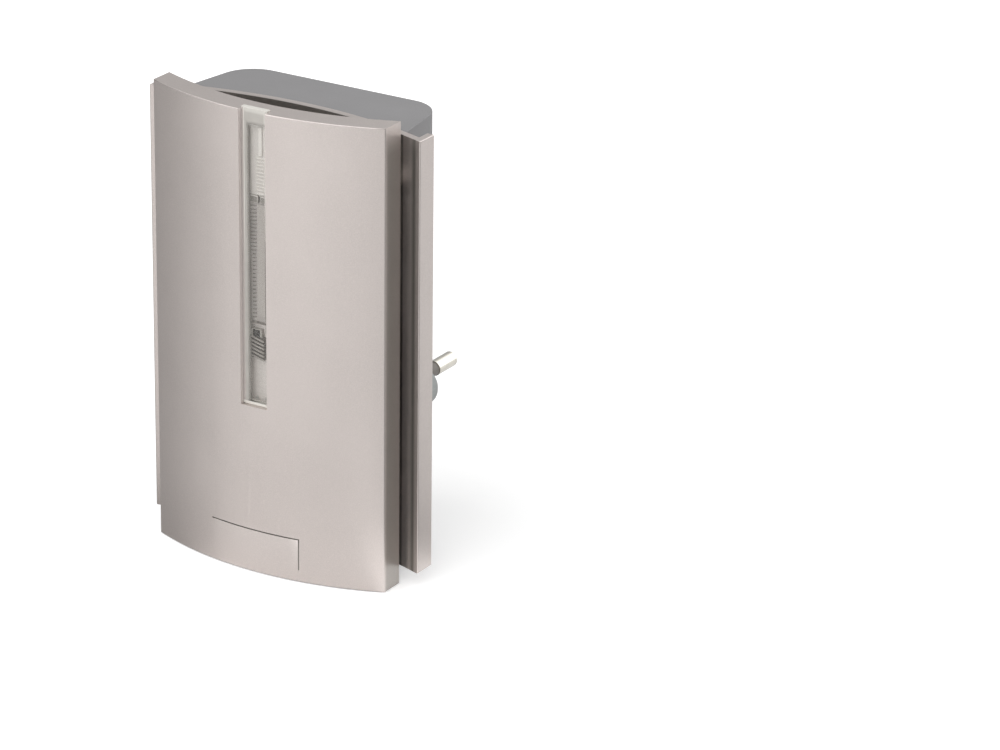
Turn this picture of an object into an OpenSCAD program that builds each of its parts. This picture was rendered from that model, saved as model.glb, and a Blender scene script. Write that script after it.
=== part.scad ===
// A plug-in wireless door chime. Millimetres, +Z up, the front panel faces -Y.
// The origin is the middle of the plug's end face, so the wall socket lies on the +Y side.
// Inside the modules Y is 0 at the panel's side edges and Z is 0 at the panel's mid height;
// on_socket() then moves each piece to the origin above.

/* [Front panel] */
// Height of the front panel
panel_h = 120; // [110:1:135]
// Width of the front panel
panel_w = 67; // [64:1:72]
// How far the middle of the panel stands ahead of its side edges
panel_bulge = 7; // [5:0.5:9]
// Depth of the panel from its front face to its open back edge
panel_rim = 6.7; // [6:0.1:7.5]
// Thickness of the panel's walls
panel_wall = 2; // [1.6:0.1:2.4]

/* [Light window] */
// Width of the slot in the panel
slot_w = 7.6; // [6.5:0.1:8.5]
// Length of the slot, from the panel's top edge down
slot_len = 76; // [66:1:84]
// How far the window lies behind the panel's front face
window_recess = 1.2; // [0.9:0.1:1.9]
// Thickness of the clear window
window_t = 1; // [0.8:0.1:1.4]

/* [Front frame] */
// Width of the frame behind the panel
frame_w = 78.5; // [75:0.5:86]
// Height of the frame
frame_h = 112; // [106:1:120]
// Thickness of the frame's curved plate
frame_wall = 2; // [1.6:0.1:2.4]
// Depth of the flanges along the frame's two sides
frame_flange = 6.4; // [5:0.1:8]
// How far the frame's side edges lie behind the panel's side edges
frame_back = 6.2; // [5.6:0.1:7]
// How far the middle of the frame dips behind its side edges
frame_dip = 7.2; // [6.4:0.1:8]

/* [Rear housing] */
// How far the housing's sides lie inside the frame's sides
housing_inset = 6.55; // [4:0.05:7.5]
// How far each side draws in from the frame to the back wall
housing_draw = 4.2; // [3:0.1:4.6]
// How far the housing's ends lie inside the frame's ends
housing_end_inset = 0.5; // [0.3:0.1:2]
// How far the housing's back lies behind the panel's side edges
housing_back = 33; // [32:0.1:36]
// Radius of the two upright back edges
housing_corner = 9; // [7:0.5:9.5]
// Thickness of the housing's walls
housing_wall = 2; // [1.6:0.1:2.2]

/* [Plug] */
// Height of the plug below the panel's mid height
plug_drop = 26.5; // [25:0.5:30]
// Length of the plug body behind the housing
plug_len = 17.5; // [16:0.5:22]
// Width of the plug body
plug_w = 35.3; // [34.5:0.1:36]
// Height of the plug body
plug_h = 13.7; // [13:0.1:14.5]
// Radius of the plug body's two ends
plug_end_r = 5; // [4.5:0.1:5.5]
// Distance between the pins' axes
pin_pitch = 18.6; // [18:0.1:19]
// Diameter of the pins' bare metal
pin_d = 4; // [3.8:0.1:4.2]
// Length of the pins beyond the plug body
pin_len = 19; // [18:0.5:20]
// Length of the pins' insulating sleeves
sleeve_len = 10; // [9:0.5:11]
// Diameter of the sleeves
sleeve_d = 3.6; // [3.4:0.05:3.65]
// How deep the sleeves sit in the plug body
sleeve_sink = 2.4; // [1.5:0.1:3]

/* [Buttons] */
// Height of the two buttons
button_h = 8; // [6:0.5:9]
// Width of the two buttons, front to back
button_w = 4; // [3.2:0.2:4.4]
// How far a button stands out of the housing
button_out = 1.2; // [0.8:0.1:1.6]
// Distance between the two buttons
button_pitch = 14; // [12:0.5:15]
// How far a button travels
button_travel = 0.5; // [0.3:0.1:0.6]

/* [Speaker] */
// Diameter of the speaker
speaker_d = 40; // [36:1:42]
// Gap between the speaker's top clamp and the housing's top wall
speaker_top_gap = 2.9; // [1:0.1:4]
// How far the cone moves each way
cone_travel = 0.4; // [0.2:0.1:0.5]

/* [Circuit board] */
// Gap between the main board and the housing's side walls
board_side_gap = 1.8; // [1.2:0.1:3]
// Height of the main board
board_h = 41; // [40:0.5:43]
// Thickness of the main board
board_t = 1.6; // [1.2:0.2:2]

/* [Hidden] */
$fn = 72;
// Clearances, seams and overruns
cut = 1;
seam = 0.05;
gap = 0.3;
sink = 0.4;

// Bowed front panel
panel_r = (pow(panel_w / 2, 2) + pow(panel_bulge, 2)) / (2 * panel_bulge);
panel_top = panel_h / 2;
engrave_w = 0.35;
engrave_depth = 0.3;
engrave_left = -13.5;
engrave_right = 12.5;
engrave_drop = 49;
engrave_end_drop = 57;
post_r = 3;
post_side = 8.7;
post_low_z = -33;
post_high_z = 41;

// Frame, dished the other way
frame_r = (pow(frame_w / 2, 2) + pow(frame_dip, 2)) / (2 * frame_dip);
frame_mid = frame_back + frame_dip;
pad_rise = 0.6;
tower_r = 3.2;
tower_side = 11.7;
tower_inset = 6;
tower_y = 24;
grille_slot = 1.8;
grille_pitch = 4;
grille_edge = 0.8;
wire_hole_r = 2.6;

// Screws
small_screw_r = 0.9;
small_head_r = 1.7;
small_head_t = 1.1;
screw_r = 1.25;
head_r = 2.5;
head_t = 1.7;
recess_w = 0.7;
recess_len_share = 0.65;
recess_depth_share = 0.6;
pilot_len = 9;

// Rear housing
shoulder_t = 2;
housing_w = frame_w - 2 * housing_inset;
housing_h = frame_h - 2 * housing_end_inset;
housing_screw_head = tower_y + shoulder_t;
taper = atan(housing_draw / (housing_back - frame_back));
post_x = housing_w / 2 - post_side;
tower_x = housing_w / 2 - tower_side;
corner_y = housing_back - housing_corner;
corner_x = side_x(corner_y) - housing_corner / cos(taper);

// Light window: front faces of the pieces, front to back
slot_low = panel_top - slot_len;
window_front = -panel_bulge + window_recess;
window_pocket = window_front + window_t;
window_rim = 0.9;
window_back = window_pocket + window_rim;
window_side = 0.75;
window_notch = 2.6;
notch_back = -panel_bulge + window_notch;
window_flange = 2.2;
window_lap = 2;
window_cap_h = 2.6;
window_cap_rise = 0.4;
guide_w = 5;
guide_t = 1.5;
guide_rise = 21.5;
guide_low = slot_low + guide_rise;
guide_top_inset = 4.1;
guide_pitch = 1.2;
guide_groove = 0.45;
tray_wall = 1.1;
tray_depth = 2.6;
tray_top_inset = 2.5;
tray_x = slot_w / 2 + tray_wall;
tray_back = window_back + seam + tray_depth;
tray_ear_h = 5.4;
tray_boss_r = 2;
tray_ear_gap = 0.9;
tray_ear_rise = 8;
tray_ear_drop = 12;
tray_ear_x = slot_w / 2 + window_flange + tray_boss_r + tray_ear_gap;
tray_ear_low = slot_low + tray_ear_rise;
tray_ear_high = panel_top - tray_ear_drop;
led_board_t = 1;
led_w = 3;
led_h = 2;
led_t = 1.1;
led_x = -0.7;
led_rise = 18.5;
led_z = slot_low + led_rise;
led_eye_r = 0.8;
led_eye_out = 0.2;
baffle_w = 4.4;
baffle_rise = 12.1;
baffle_len = 4.9;
baffle_low = slot_low + baffle_rise;
baffle_fins = 6;
baffle_fin_t = 0.4;
baffle_t = 1.2;
baffle_slope = 14;

// Plug
plug_face = housing_back + plug_len;
plug_z = -plug_drop;
plug_wall = 2;
plug_cap = 4;
plug_chamfer = 1.2;
plug_flange_lap = 2.4;
plug_flange_t = 2;
pin_core_r = 1.45;
pin_tip_share = 0.65;
pin_tube_r = 3.6;
pin_tail = 3.2;
tab_w = 4.6;
tab_t = 0.7;
tab_len = 4.5;
wire_r = 0.7;
thin_wire_r = 0.45;

// Circuit board: its front face rests on standoffs behind the frame
board_gap = 1.1;
board_y = frame_mid + frame_wall + board_gap;
board_rear = board_y + board_t;
board_w = 2 * (side_x(board_rear) - housing_wall / cos(taper) - board_side_gap);
board_end_gap = 2.3;
board_low = -housing_h / 2 + tower_inset + tower_r + board_end_gap;
board_top = board_low + board_h;
board_screw_side = 3.5;
board_screw_x = board_w / 2 - board_screw_side;
board_screw_inset = 4;
standoff_r = 2.5;

// Parts on the board
part_gap = 0.8;
part_edge_x = board_screw_x - small_head_r - part_gap;
film_cap = [14, 9, 9];
film_cap_drop = 2.2;
film_cap_z = board_top - film_cap_drop;
can_r = 4;
can_len = 13;
can_drop = 6;
can_x = part_edge_x - can_len;
can_z = board_top - can_drop;
can_groove = 0.35;
lead_r = 0.35;
lead_bend = 1.2;
fuse_r = 1.5;
fuse_len = 8;
fuse_x = -part_edge_x + lead_bend + lead_r;
diode_r = 1.3;
diode_len = 4.6;
diode_pitch = 4.4;
diode_step = diode_len + 4 * lead_bend;
diode_x = part_edge_x - diode_step - diode_len - lead_bend - lead_r;
low_row_rise = 4.6;
low_row_z = board_low + low_row_rise;
chip = [10, 1.6, 6.4];
chip_x = -6;
chip_rise = 15;
chip_z = board_low + chip_rise;
chip_legs = 8;
chip_leg = [0.45, 0.5, 1.3];
crystal_w = 9;
crystal_h = 3.4;
crystal_t = 3.4;
crystal_x = -5;
crystal_rise = 23;
crystal_z = board_low + crystal_rise;
module_w = 12;
module_h = 15;
module_t = 0.9;
module_edge = 3;
module_rise = 10.4;
module_x = board_w / 2 - module_w - module_edge;
module_z = board_low + module_rise;
module_lift = 1.2;
module_can = [7, 1.8, 7];
module_pins = 4;
antenna_gap = 1;
antenna_y = board_rear + module_lift + module_t / 2;
antenna_x = side_x(antenna_y) - housing_wall / cos(taper) - antenna_gap - thin_wire_r;

// Push buttons and their switches
switch_h = 6;
switch_screw_gap = 1.3;
volume_z = board_low + board_screw_inset + small_head_r + switch_screw_gap + switch_h / 2;
melody_z = volume_z + button_pitch;
switch_deep = 4.2;
switch_wide = 5.6;
button_y = board_rear + switch_wide / 2;
button_wall_x = side_x(button_y);
button_lip = 0.9;
button_flange_t = 0.9;
button_round = 0.9;
plunger_r = 1.6;
plunger_out = 1;
plunger_in = 1.6;
button_flange_gap = 0.75;
flange_x = -(button_wall_x - housing_wall - button_flange_gap);
switch_face_x = flange_x + button_flange_t + plunger_out;

// Speaker, front to back
speaker_step = 0.5;
speaker_front = board_y - speaker_step;
speaker_lip_t = 1;
speaker_seat_w = 3;
clamp_out = 1.9;
clamp_x = speaker_d / 2 + clamp_out;
clamp_head_r = 2.7;
speaker_rise = housing_h / 2 - housing_wall - speaker_top_gap - clamp_head_r - clamp_x;
antenna_top = speaker_rise + speaker_d / 2;
basket_t = 0.7;
basket_depth = 5.6;
basket_back = speaker_front + basket_depth;
basket_rim_w = 4.2;
basket_open_r = speaker_d / 2 - basket_rim_w;
basket_mouth_inset = 3;
basket_mouth_r = speaker_d / 2 - basket_mouth_inset;
grille_r = basket_open_r - grille_edge;
basket_windows = 4;
basket_window_w = 6;
coil_r = 6.7;
coil_t = 0.35;
coil_play = 0.4;
magnet_r = 9.6;
magnet_t = 3.4;
yoke_t = 1.2;
basket_waist_gap = 0.9;
basket_waist_r = magnet_r + basket_waist_gap;
cone_t = 0.4;
surround_w = 2.4;
cone_rim_r = basket_open_r - surround_w;
cone_inset = 1.1;
cone_front = speaker_front + cone_inset;
cone_deep = 3;
surround_gap = 0.08;
surround_t = 0.35;
dust_cap_rise = 1.9;

// Places on the curved faces
function panel_y(x) = panel_r - panel_bulge - sqrt(panel_r * panel_r - x * x);
function frame_y(x) = frame_mid - frame_r + sqrt(frame_r * frame_r - x * x);
function frame_rear(x) = frame_y(x) + frame_wall;
function side_x(y) = housing_w / 2 - (y - frame_back) * tan(taper);

module on_socket() {
    translate([0, -plug_face, plug_drop]) children();
}

// A box between two corners
module block(low, high) {
    translate(low) cube(high - low);
}

// A round rod along Y
module rod(r, x, z, y0, y1) {
    translate([x, y0, z]) rotate([-90, 0, 0]) cylinder(r = r, h = y1 - y0);
}

// A round rod along X
module bar(r, y, z, x0, x1) {
    translate([x0, y, z]) rotate([0, 90, 0]) cylinder(r = r, h = x1 - x0);
}

// A ring about an axis along Y
module ring(outer, inner, z, y0, y1) {
    difference() {
        rod(outer, 0, z, y0, y1);
        rod(inner, 0, z, y0 - cut, y1 + cut);
    }
}

// An outline drawn in radius and depth, turned about the speaker's axis
module turned() {
    translate([0, speaker_front, speaker_rise]) rotate([-90, 0, 0]) rotate_extrude() children();
}

// A wire through a list of places, with round bends
module wire(places, r) {
    for (i = [1 : len(places) - 1]) {
        step = places[i] - places[i - 1];
        translate(places[i - 1])
            rotate([0, acos(step[2] / norm(step)), atan2(step[1], step[0])])
                cylinder(r = r, h = norm(step));
    }
    for (i = [1 : 1 : len(places) - 2])
        translate(places[i]) sphere(r = r);
}

// A screw along Y: its head's underside at y, its point at y_point, before or behind
module screw(x, z, y, y_point, shank_r, cap_r, cap_t) {
    way = y_point > y ? -1 : 1;
    y_top = y + way * cap_t;
    y_slot = y_top - way * cap_t * recess_depth_share;
    difference() {
        union() {
            rod(shank_r, x, z, min(y, y_point), max(y, y_point));
            rod(cap_r, x, z, min(y, y_top), max(y, y_top));
        }
        for (turn = [0, 90])
            translate([x, 0, z]) rotate([0, turn, 0])
                block([-cap_r * recess_len_share, min(y_slot, y_top + way * cut), -recess_w / 2],
                    [cap_r * recess_len_share, max(y_slot, y_top + way * cut), recess_w / 2]);
    }
}

// Plan of everything behind the panel's front face, moved back by a depth
module behind_panel_face(half, depth, y_end) {
    intersection() {
        translate([0, panel_r - panel_bulge + depth]) circle(r = panel_r, $fn = 180);
        translate([-half, -panel_bulge - cut]) square([2 * half, y_end + panel_bulge + cut]);
    }
}

// Plan between the panel's front face and the same curve moved back by a depth
module bowed_band(half, depth) {
    difference() {
        behind_panel_face(half, 0, panel_rim + cut);
        translate([0, panel_r - panel_bulge + depth]) circle(r = panel_r, $fn = 180);
    }
}

module panel_extrude(low, high) {
    translate([0, 0, low]) linear_extrude(height = high - low) children();
}

module tray_bosses(r, y0, y1) {
    for (x = [-tray_ear_x, tray_ear_x], z = [tray_ear_low, tray_ear_high])
        rod(r, x, z, y0, y1);
}

module panel_posts(r, y0, y1) {
    for (x = [-post_x, post_x], z = [post_low_z, post_high_z])
        rod(r, x, z, y0, y1);
}

module engraved_corner() {
    block([engrave_left, -panel_bulge - cut, -engrave_drop],
        [engrave_right, panel_rim, engrave_w - engrave_drop]);
    block([engrave_right - engrave_w, -panel_bulge - cut, -engrave_end_drop],
        [engrave_right, panel_rim, -engrave_drop + engrave_w]);
}

post_end = frame_y(post_x + post_r) - pad_rise;

module front_panel() {
    inner = panel_w / 2 - panel_wall;
    color([0.80, 0.76, 0.73]) on_socket() difference() {
        union() {
            difference() {
                panel_extrude(-panel_top, panel_top) bowed_band(panel_w / 2, panel_rim);
                panel_extrude(-panel_top + panel_wall, panel_top - panel_wall)
                    behind_panel_face(inner, panel_wall, panel_rim + cut);
            }
            panel_posts(post_r, panel_y(post_x) + panel_wall - sink, post_end);
            tray_bosses(tray_boss_r, panel_y(tray_ear_x) + panel_wall - sink, window_back + seam);
        }
        block([-slot_w / 2, -panel_bulge - cut, slot_low], [slot_w / 2, notch_back, panel_top + cut]);
        panel_posts(screw_r + seam, post_end - pilot_len, post_end + cut);
        tray_bosses(small_screw_r + seam, panel_y(tray_ear_x) + panel_wall / 2, window_back + cut);
        intersection() {
            engraved_corner();
            panel_extrude(-panel_top, panel_top) bowed_band(panel_w / 2, engrave_depth);
        }
    }
}

module lens_cover() {
    half = slot_w / 2 - seam;
    flange = slot_w / 2 + window_flange;
    pocket = half - window_side;
    color([0.88, 0.88, 0.86, 0.6]) on_socket() difference() {
        union() {
            block([-half, window_front, slot_low + seam], [half, window_back, panel_top - panel_wall - seam]);
            block([-flange, panel_y(flange) + panel_wall + seam, slot_low - window_lap],
                [flange, window_back, panel_top - panel_wall - seam]);
            block([-half, window_front, panel_top - window_cap_h],
                [half, notch_back - seam, panel_top + window_cap_rise]);
        }
        block([-pocket, window_pocket, slot_low + seam + window_side],
            [pocket, window_back + cut, panel_top - window_cap_h]);
    }
}

guide_front = window_pocket + 2 * seam;

module light_guide() {
    guide_top = panel_top - guide_top_inset;
    grooves = floor((guide_top - guide_low) / guide_pitch) - 1;
    color([0.90, 0.91, 0.88]) on_socket() difference() {
        block([-guide_w / 2, guide_front, guide_low], [guide_w / 2, guide_front + guide_t, guide_top]);
        for (i = [1 : grooves])
            translate([0, guide_front, guide_low + i * guide_pitch]) rotate([45, 0, 0])
                block([-guide_w / 2 - cut, -guide_groove / 2, -guide_groove / 2],
                    [guide_w / 2 + cut, guide_groove / 2, guide_groove / 2]);
    }
}

led_board_front = tray_back - tray_wall - led_board_t;

module light_tray() {
    inner = slot_w / 2;
    front = window_back + seam;
    low = slot_low - window_lap;
    high = panel_top - tray_top_inset;
    color([0.86, 0.86, 0.84]) on_socket() difference() {
        union() {
            block([-tray_x, front, low], [tray_x, tray_back, high]);
            for (side = [-1, 1], z = [tray_ear_low, tray_ear_high]) {
                ear = tray_ear_x + tray_boss_r;
                block([min(side * tray_x, side * ear) - seam, front + seam, z - tray_ear_h / 2],
                    [max(side * tray_x, side * ear) + seam, front + tray_wall, z + tray_ear_h / 2]);
            }
        }
        block([-inner, front - cut, low + tray_wall], [inner, guide_front + guide_t + seam, high - tray_wall]);
        block([-guide_w / 2 + tray_wall, front, low + tray_wall],
            [guide_w / 2 - tray_wall, tray_back - tray_wall, high - tray_wall]);
        block([-inner, front, low + tray_wall], [inner, tray_back - tray_wall, guide_low - tray_wall]);
        tray_bosses(small_screw_r + seam, front - cut, front + tray_wall + cut);
        for (x = [-thin_wire_r * 3, thin_wire_r * 3])
            rod(thin_wire_r + 2 * seam, x, slot_low + tray_wall, front, tray_back + cut);
    }
}

module tray_screws() {
    y = window_back + seam + tray_wall;
    color("silver") on_socket()
        for (x = [-tray_ear_x, tray_ear_x], z = [tray_ear_low, tray_ear_high])
            screw(x, z, y, panel_y(tray_ear_x) + panel_wall, small_screw_r, small_head_r, small_head_t);
}

module led_board() {
    low = slot_low - window_lap + tray_wall + seam;
    color([0.85, 0.86, 0.82]) on_socket() difference() {
        block([-slot_w / 2 + seam, led_board_front, low],
            [slot_w / 2 - seam, led_board_front + led_board_t - seam, guide_low - tray_wall - seam]);
        for (x = [-thin_wire_r * 3, thin_wire_r * 3])
            rod(thin_wire_r + seam, x, slot_low + tray_wall, led_board_front - cut, tray_back);
    }
}

module indicator_led() {
    front = led_board_front - led_t;
    color([0.15, 0.15, 0.16]) on_socket() {
        block([led_x - led_w / 2, front, led_z - led_h / 2], [led_x + led_w / 2, led_board_front, led_z + led_h / 2]);
        rod(led_eye_r, led_x, led_z, front - led_eye_out, front + seam);
    }
}

module light_baffle() {
    front = led_board_front - baffle_t;
    color([0.18, 0.17, 0.16]) on_socket() {
        block([led_x - baffle_w / 2, led_board_front - baffle_t / 2, baffle_low - baffle_fin_t],
            [led_x + baffle_w / 2, led_board_front, baffle_low + baffle_len + baffle_fin_t]);
        for (i = [0 : baffle_fins - 1])
            translate([led_x, front, baffle_low + baffle_len * i / (baffle_fins - 1)]) rotate([0, baffle_slope, 0])
                block([-baffle_w / 2, 0, -baffle_fin_t / 2], [baffle_w / 2, baffle_t / 2 + seam, baffle_fin_t / 2]);
    }
}

// Plan of everything ahead of the frame's curve, moved back by a depth
module ahead_of_frame(depth) {
    translate([0, frame_mid - frame_r + depth]) circle(r = frame_r, $fn = 180);
}

module frame_towers(r, y0, y1) {
    for (x = [-tower_x, tower_x], z = [tower_inset - housing_h / 2, housing_h / 2 - tower_inset])
        rod(r, x, z, y0, y1);
}

module board_standoffs(r, y0, y1) {
    for (x = [-board_screw_x, board_screw_x], z = [board_low + board_screw_inset, board_top - board_screw_inset])
        rod(r, x, z, y0, y1);
}

module clamp_places() {
    for (turn = [90, 210, 330])
        translate([clamp_x * cos(turn), 0, speaker_rise + clamp_x * sin(turn)]) children();
}

module grille_slots() {
    rows = floor(grille_r / grille_pitch);
    for (i = [-rows : rows]) {
        z = speaker_rise + i * grille_pitch;
        half = sqrt(grille_r * grille_r - pow(i * grille_pitch, 2));
        block([-half, 0, z - grille_slot / 2], [half, frame_rear(0) + cut, z + grille_slot / 2]);
    }
}

module front_frame() {
    half = frame_w / 2;
    color([0.77, 0.74, 0.71]) on_socket() difference() {
        union() {
            panel_extrude(-frame_h / 2, frame_h / 2) intersection() {
                difference() {
                    ahead_of_frame(frame_wall);
                    ahead_of_frame(0);
                }
                translate([-half, 0]) square([frame_w, frame_rear(0) + cut]);
            }
            for (x = [-half, half - frame_wall])
                block([x, frame_rear(half) - sink, -frame_h / 2], [x + frame_wall, frame_back + frame_flange, frame_h / 2]);
            panel_posts(post_r, post_end, frame_y(post_x) + frame_wall / 2);
            frame_towers(tower_r, frame_rear(tower_x) - frame_wall / 2, tower_y);
            board_standoffs(standoff_r, frame_rear(board_screw_x) - frame_wall / 2, board_y);
            difference() {
                ring(speaker_d / 2, speaker_d / 2 - speaker_seat_w, speaker_rise, frame_y(0) - frame_dip, speaker_front);
                panel_extrude(-frame_h, frame_h) ahead_of_frame(frame_wall / 2);
            }
            difference() {
                clamp_places() rod(standoff_r, 0, 0, 0, speaker_front + speaker_lip_t);
                panel_extrude(-frame_h, frame_h) ahead_of_frame(frame_wall / 2);
                rod(speaker_d / 2 + seam, 0, speaker_rise, speaker_front, speaker_front + speaker_lip_t + cut);
            }
        }
        grille_slots();
        rod(wire_hole_r, 0, slot_low + tray_wall, 0, frame_rear(0) + cut);
        panel_posts(screw_r + seam, 0, frame_rear(0) + cut);
        panel_posts(head_r + seam, frame_rear(post_x + head_r), frame_rear(0) + cut);
        frame_towers(screw_r + seam, tower_y - pilot_len, tower_y + cut);
        board_standoffs(small_screw_r + seam, frame_rear(board_screw_x) - frame_wall / 2, board_y + cut);
        clamp_places() rod(small_screw_r + seam, 0, 0, frame_rear(0) - frame_wall / 2, speaker_front + 2 * cut);
    }
}

module panel_screws() {
    y = frame_rear(post_x + head_r) + seam;
    color("silver") on_socket()
        for (x = [-post_x, post_x], z = [post_low_z, post_high_z])
            screw(x, z, y, post_end - pilot_len + seam, screw_r, head_r, head_t);
}

// Plan of the housing, drawn inside its outer face by an inset
module housing_plan(inset) {
    r = housing_corner - inset;
    front = housing_w / 2 - inset / cos(taper);
    tangent = [corner_x + r * cos(taper), corner_y + r * sin(taper)];
    polygon([[-front, frame_back], [front, frame_back], tangent, [corner_x, corner_y + r],
        [-corner_x, corner_y + r], [-tangent[0], tangent[1]]]);
    for (x = [-corner_x, corner_x])
        translate([x, corner_y]) circle(r = r);
}

module button_hole(z) {
    side = button_w / 2 + gap;
    block([-housing_w, button_y - side, z - button_h / 2 - gap], [0, button_y + side, z + button_h / 2 + gap]);
}

module rear_housing() {
    color([0.55, 0.55, 0.55]) on_socket() difference() {
        union() {
            difference() {
                panel_extrude(-housing_h / 2, housing_h / 2) housing_plan(0);
                panel_extrude(-housing_h / 2 + housing_wall, housing_h / 2 - housing_wall) housing_plan(housing_wall);
            }
            frame_towers(head_r + seam + housing_wall / 2, tower_y + seam, housing_back - housing_wall / 2);
        }
        panel_extrude(-housing_h, housing_h) ahead_of_frame(frame_wall + seam);
        frame_towers(screw_r + 2 * seam, tower_y, housing_back);
        frame_towers(head_r + 2 * seam, housing_screw_head, housing_back + cut);
        rotate([-90, 0, 0]) translate([0, plug_drop, housing_back - housing_wall - cut])
            linear_extrude(height = housing_wall + 2 * cut) plug_plan(-2 * seam);
        for (z = [melody_z, volume_z])
            button_hole(z);
    }
}

module housing_screws() {
    color("silver") on_socket()
        for (x = [-tower_x, tower_x], z = [tower_inset - housing_h / 2, housing_h / 2 - tower_inset])
            screw(x, z, housing_screw_head + seam, tower_y - pilot_len + seam, screw_r, head_r, head_t);
}

// Outline of the plug body: flat top and bottom, slanted shoulders and round ends
module plug_plan(inset) {
    r = plug_end_r - inset;
    x = plug_w / 2 - plug_end_r;
    h = plug_h / 2 - inset;
    lean = r * sqrt(0.5);
    shoulder = x + 2 * lean - h;
    polygon([[-shoulder, h], [-x - lean, lean], [-x - lean, -lean], [-shoulder, -h],
        [shoulder, -h], [x + lean, -lean], [x + lean, lean], [shoulder, h]]);
    for (side = [-x, x])
        translate([side, 0]) circle(r = r);
}

// Extrudes the plug's outline between two depths
module plug_part(y0, y1, inset) {
    translate([0, 0, plug_z]) rotate([-90, 0, 0]) translate([0, 0, y0])
        linear_extrude(height = y1 - y0) plug_plan(inset);
}

module pin_pair(r, y0, y1) {
    for (x = [-pin_pitch / 2, pin_pitch / 2])
        rod(r, x, plug_z, y0, y1);
}

plug_inside = housing_back - housing_wall;

module plug_body() {
    color([0.56, 0.58, 0.57]) on_socket() difference() {
        union() {
            difference() {
                union() {
                    plug_part(plug_inside - plug_flange_t - seam, plug_inside - seam, -plug_flange_lap);
                    plug_part(plug_inside - plug_flange_t, plug_face - plug_chamfer, 0);
                    plug_part(plug_face - 2 * plug_chamfer, plug_face, plug_chamfer / 2);
                }
                plug_part(plug_inside - plug_flange_t - cut, plug_face - plug_cap, plug_wall);
            }
            pin_pair(pin_tube_r, plug_inside - plug_flange_t, plug_face - plug_cap / 2);
        }
        pin_pair(pin_core_r + seam, plug_inside - plug_flange_t - cut, plug_face + cut);
        pin_pair(sleeve_d / 2 + seam, plug_face - sleeve_sink, plug_face + cut);
    }
}

module plug_pin(x) {
    metal = plug_face + sleeve_len;
    tip = plug_face + pin_len;
    on_socket() {
        rod(pin_core_r, x, plug_z, plug_inside - plug_flange_t - pin_tail, metal + sink);
        rod(pin_d / 2, x, plug_z, metal, tip - pin_d / 4);
        intersection() {
            translate([x, tip - pin_d * pin_tip_share, plug_z]) sphere(r = pin_d * pin_tip_share);
            rod(pin_d / 2, x, plug_z, tip - pin_d / 2, tip + cut);
        }
    }
}

module live_pin() {
    color([0.80, 0.79, 0.74]) plug_pin(pin_pitch / 2);
}

module neutral_pin() {
    color([0.80, 0.79, 0.74]) plug_pin(-pin_pitch / 2);
}

module pin_sleeves() {
    color([0.30, 0.27, 0.26]) on_socket() difference() {
        pin_pair(sleeve_d / 2, plug_face - sleeve_sink, plug_face + sleeve_len);
        pin_pair(pin_core_r + seam, plug_face - sleeve_sink - cut, plug_face + sleeve_len + cut);
    }
}

tab_y = plug_inside - plug_flange_t - pin_tail / 2;

module pin_tabs() {
    color([0.75, 0.66, 0.38]) on_socket() difference() {
        for (x = [-pin_pitch / 2, pin_pitch / 2])
            block([x - tab_w / 2, tab_y - tab_t / 2, plug_z - tab_w / 2 - tab_len],
                [x + tab_w / 2, tab_y + tab_t / 2, plug_z + tab_w / 2]);
        pin_pair(pin_core_r + seam, tab_y - tab_w, tab_y + tab_w);
    }
}

module mains_wires() {
    low_z = plug_z - tab_w / 2 - tab_len;
    color([0.55, 0.20, 0.15]) on_socket()
        for (side = [-1, 1])
            wire([[side * pin_pitch / 2, tab_y, low_z - seam],
                [side * pin_pitch / 2, tab_y, low_z - 2 * wire_r],
                [side * pin_pitch / 2, board_rear + seam, low_z - 2 * wire_r]], wire_r);
}

module main_board() {
    color([0.16, 0.36, 0.22]) on_socket() difference() {
        block([-board_w / 2, board_y, board_low], [board_w / 2, board_rear, board_top]);
        board_standoffs(small_screw_r + 2 * seam, board_y - cut, board_rear + cut);
    }
}

module board_screws() {
    color("silver") on_socket()
        for (x = [-board_screw_x, board_screw_x], z = [board_low + board_screw_inset, board_top - board_screw_inset])
            screw(x, z, board_rear + seam, frame_rear(board_screw_x) - frame_wall / 2 + seam,
                small_screw_r, small_head_r, small_head_t);
}

module film_capacitor() {
    y = board_rear + seam;
    color([0.85, 0.75, 0.25]) on_socket()
        block([-part_edge_x, y, film_cap_z - film_cap[2]], [film_cap[0] - part_edge_x, y + film_cap[1], film_cap_z]);
}

module reservoir_capacitor() {
    y = board_rear + can_r + seam;
    color([0.15, 0.18, 0.30]) on_socket() difference() {
        bar(can_r, y, can_z, can_x, can_x + can_len);
        difference() {
            bar(can_r + cut, y, can_z, can_x + can_groove * 4, can_x + can_groove * 6);
            bar(can_r - can_groove, y, can_z, can_x, can_x + can_len);
        }
    }
}

// A small part lying on the board with a bent lead at each end
module axial_part(x, z, r, length) {
    y = board_rear + r + 2 * seam;
    bar(r, y, z, x, x + length);
    for (side = [-1, 1]) {
        inner = x + (side < 0 ? 0 : length);
        wire([[inner - side * seam, y, z], [inner + side * lead_bend, y, z], [inner + side * lead_bend, board_rear + seam, z]], lead_r);
    }
}

module fuse_resistor() {
    color([0.72, 0.62, 0.48]) on_socket() axial_part(fuse_x, low_row_z, fuse_r, fuse_len);
}

module rectifier_diodes() {
    color([0.10, 0.10, 0.11]) on_socket()
        for (i = [0 : 1], j = [0 : 1])
            axial_part(diode_x + i * diode_step, low_row_z - (j - 0.5) * diode_pitch, diode_r, diode_len);
}

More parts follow.
